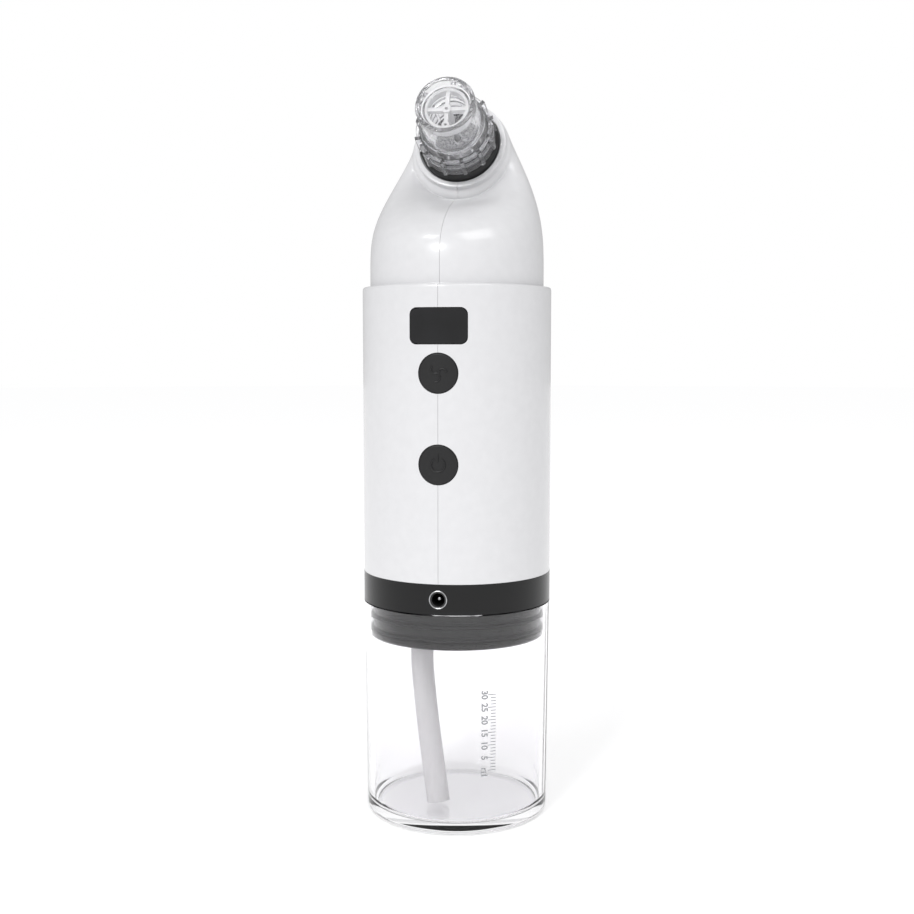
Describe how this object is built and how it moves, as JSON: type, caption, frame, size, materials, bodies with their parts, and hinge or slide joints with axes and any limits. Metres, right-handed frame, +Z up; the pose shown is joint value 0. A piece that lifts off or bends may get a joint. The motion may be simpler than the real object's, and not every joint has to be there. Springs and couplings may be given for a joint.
{
  "type": "blackhead vacuum extractor",
  "caption": "Handheld pore vacuum with a clear push-fit water tank, black ring, white two-part housing, front display and buttons, and a tilted clear suction tip.",
  "frame": {"origin": "centre of the tank's underside", "axes": "+Z up along the body, front (display, buttons and nozzle) towards -Y, +X to the right seen from the front"},
  "size_m": [0.05, 0.05, 0.1923],
  "materials": {
    "white_shell": "pearl satin",
    "smoked_window": "polished",
    "black_plastic": "moulded",
    "circuit_board": "solder mask",
    "steel": "drawn",
    "black_ring": "satin gloss",
    "black_rubber": "moulded",
    "milky_silicone": "translucent",
    "battery_wrap": "shrink wrap",
    "grey_plastic": "moulded",
    "wire_sleeve": "smooth",
    "button_plastic": "fine matt",
    "clear_tank": "clear moulded plastic",
    "clear_tip": "clear moulded plastic",
    "filter_foam": "open foam"
  },
  "bodies": {
    "handle": {"housing_left": "white_shell", "housing_right": "white_shell", "display_window": "smoked_window", "display_module": "black_plastic", "control_board": "circuit_board", "board_components": "black_plastic", "board_screws": "steel", "mode_switch": "black_plastic", "power_switch": "black_plastic", "dc_jack": "black_plastic", "jack_pin": "steel", "base_ring": "black_ring", "tank_seals": "black_rubber", "dip_tube": "milky_silicone", "screw_plugs": "black_rubber", "base_screws": "steel", "battery_cell": "battery_wrap", "chassis": "grey_plastic", "motor_can": "steel", "pump_case": "grey_plastic", "diaphragm": "black_rubber", "valve_plate": "grey_plastic", "pump_cover": "grey_plastic", "supply_hose": "milky_silicone", "suction_hose": "milky_silicone", "return_hose": "milky_silicone", "nozzle_socket": "grey_plastic", "feed_pipe": "steel", "nozzle_seal": "black_rubber", "battery_leads": "wire_sleeve", "motor_leads": "wire_sleeve", "jack_leads": "wire_sleeve"},
    "mode_button": {"mode_button": "button_plastic", "mode_plunger": "grey_plastic"},
    "power_button": {"power_button": "button_plastic", "power_plunger": "grey_plastic"},
    "tank": {"tank": "clear_tank"},
    "lock_ring": {"lock_ring": "clear_tip", "filter_disc": "filter_foam"},
    "tip": {"suction_tip": "clear_tip", "tip_insert": "clear_tip"},
    "crank": {"motor_shaft": "steel", "pump_crank": "grey_plastic"},
    "wobble": {"wobble_plate": "grey_plastic"}
  },
  "joints": [
    {"name": "mode_press", "type": "slide", "parent": "handle", "child": "mode_button", "axis": [0, 1, 0], "range_m": [0, 0.0005], "stiffness_N_per_m": 1500, "springref_m": -0.0005},
    {"name": "power_press", "type": "slide", "parent": "handle", "child": "power_button", "axis": [0, 1, 0], "range_m": [0, 0.0005], "stiffness_N_per_m": 1500, "springref_m": -0.0005},
    {"name": "tank_pull", "type": "slide", "parent": "handle", "child": "tank", "axis": [0, 0, -1], "range_m": [0, 0.06]},
    {"name": "ring_twist", "type": "hinge", "parent": "handle", "child": "lock_ring", "pos_m": [0, 0.0039, 0.17835], "axis": [0, -0.9461, 0.3239], "range_deg": [0, 60]},
    {"name": "tip_pull", "type": "slide", "parent": "lock_ring", "child": "tip", "axis": [0, -0.9461, 0.3239], "range_m": [0, 0.015]},
    {"name": "crank_spin", "type": "hinge", "parent": "handle", "child": "crank", "pos_m": [0.0103, 0.004, 0.1069], "axis": [0, 0, 1], "continuous": true},
    {"name": "wobble_spin", "type": "hinge", "parent": "crank", "child": "wobble", "pos_m": [0.0103, 0.004, 0.1168], "axis": [-0.1322, 0, 0.9912], "continuous": true}
  ],
  "couplings": [
    {"joint": "wobble_spin", "follows": "crank_spin", "ratio": -1}
  ]
}
